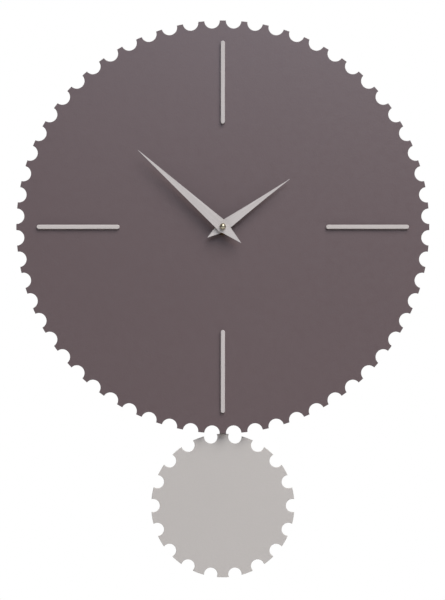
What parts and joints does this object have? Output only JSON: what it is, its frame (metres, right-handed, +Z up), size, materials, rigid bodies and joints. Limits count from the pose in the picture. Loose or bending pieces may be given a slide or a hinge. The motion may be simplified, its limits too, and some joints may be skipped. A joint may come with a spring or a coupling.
{
  "type": "pendulum wall clock",
  "caption": "Round scalloped wall clock with two kite-shaped hands, bar hour markers and a scalloped disc pendulum swinging below it; battery movement behind.",
  "frame": {"origin": "centre of the nail hole in the hanger plate, on the wall plane", "axes": "+X to the right seen from the front, +Y into the wall, +Z up; the front faces -Y"},
  "size_m": [0.38, 0.0414, 0.5138],
  "materials": {
    "dial_lacquer": "matte mauve-grey lacquer on fibreboard",
    "bob_lacquer": "matte silver-grey lacquer on fibreboard",
    "marker_paint": "light grey satin paint",
    "hand_paint": "light grey satin paint over brushed sheet",
    "cap_metal": "polished nickel over brass",
    "brass": "turned",
    "rubber": "matte",
    "zinc_steel": "zinc plated",
    "black_plastic": "fine moulded texture",
    "white_plastic": "natural acetal",
    "natural_plastic": "natural, slightly yellow",
    "knob_plastic": "fluted",
    "magnet": "sintered ferrite",
    "soft_iron": "punched sheet",
    "enamelled_copper": "fine enamelled wire",
    "board": "green solder mask",
    "resin": "black potting resin",
    "can_metal": "drawn can",
    "cell_jacket": "plain sleeve with a coloured band",
    "contact_metal": "nickel plated spring strip"
  },
  "bodies": {
    "clock": {"dial_disc": "dial_lacquer", "hour_marker_12": "marker_paint", "hour_marker_3": "marker_paint", "hour_marker_6": "marker_paint", "hour_marker_9": "marker_paint", "fixing_washer": "brass", "fixing_nut": "brass", "threaded_bushing": "brass", "rubber_washer": "rubber", "hanger_plate": "zinc_steel", "case_front": "black_plastic", "case_back": "black_plastic", "middle_plate": "natural_plastic", "bridge": "natural_plastic", "bridge_screws": "zinc_steel", "motor_screws": "zinc_steel", "motor_stator": "soft_iron", "motor_core": "soft_iron", "motor_bobbin": "natural_plastic", "motor_coil": "enamelled_copper", "circuit_board": "board", "clock_chip": "resin", "quartz_crystal": "can_metal", "driver_board": "board", "driver_chip": "resin", "driver_capacitor": "can_metal", "battery": "cell_jacket", "contact_positive": "contact_metal", "contact_negative": "contact_metal", "drive_bobbin": "natural_plastic", "drive_coil": "enamelled_copper", "pendulum_pivot_pin": "zinc_steel"},
    "minute_arbor": {"minute_hand": "hand_paint", "minute_hand_collet": "brass", "hand_cap_nut": "cap_metal", "centre_wheel": "brass"},
    "hour_pipe": {"hour_hand": "hand_paint", "hour_hand_collet": "brass", "hour_wheel": "white_plastic"},
    "minute_wheel": {"minute_wheel": "white_plastic"},
    "setting_knob": {"setting_knob": "knob_plastic"},
    "third_wheel": {"third_wheel": "white_plastic"},
    "seconds_wheel": {"seconds_wheel": "white_plastic"},
    "step_wheel": {"step_wheel": "white_plastic"},
    "rotor": {"rotor_magnet": "magnet", "rotor_pinion": "white_plastic"},
    "pendulum": {"pendulum_lever": "white_plastic", "pendulum_magnet": "magnet", "pendulum_rod": "zinc_steel", "pendulum_bob": "bob_lacquer"}
  },
  "joints": [
    {"name": "minute_turn", "type": "hinge", "parent": "clock", "child": "minute_arbor", "pos_m": [0, -0.014, -0.046], "axis": [0, 1, 0], "continuous": true},
    {"name": "hour_turn", "type": "hinge", "parent": "clock", "child": "hour_pipe", "pos_m": [0, -0.016, -0.046], "axis": [0, 1, 0], "continuous": true},
    {"name": "minute_wheel_turn", "type": "hinge", "parent": "clock", "child": "minute_wheel", "pos_m": [-0.00594, -0.0146, -0.05194], "axis": [0, 1, 0], "continuous": true},
    {"name": "setting_turn", "type": "hinge", "parent": "clock", "child": "setting_knob", "pos_m": [-0.01421, -0.002, -0.0534], "axis": [0, 1, 0], "continuous": true},
    {"name": "third_turn", "type": "hinge", "parent": "clock", "child": "third_wheel", "pos_m": [-0.0051, -0.0108, -0.03717], "axis": [0, 1, 0], "continuous": true},
    {"name": "seconds_turn", "type": "hinge", "parent": "clock", "child": "seconds_wheel", "pos_m": [0, -0.009, -0.046], "axis": [0, 1, 0], "continuous": true},
    {"name": "step_turn", "type": "hinge", "parent": "clock", "child": "step_wheel", "pos_m": [0.00784, -0.0067, -0.046], "axis": [0, 1, 0], "continuous": true},
    {"name": "rotor_turn", "type": "hinge", "parent": "clock", "child": "rotor", "pos_m": [0.01576, -0.0047, -0.046], "axis": [0, 1, 0], "continuous": true},
    {"name": "pendulum_swing", "type": "hinge", "parent": "clock", "child": "pendulum", "pos_m": [0, -0.00925, -0.097], "axis": [0, 1, 0], "range_deg": [-6, 6]}
  ],
  "couplings": [
    {"joint": "hour_turn", "follows": "minute_turn", "ratio": 0.083333},
    {"joint": "minute_wheel_turn", "follows": "minute_turn", "ratio": -0.33333},
    {"joint": "setting_turn", "follows": "minute_turn", "ratio": 1},
    {"joint": "third_turn", "follows": "minute_turn", "ratio": -8},
    {"joint": "seconds_turn", "follows": "minute_turn", "ratio": 60},
    {"joint": "step_turn", "follows": "minute_turn", "ratio": -360},
    {"joint": "rotor_turn", "follows": "minute_turn", "ratio": 1800}
  ]
}
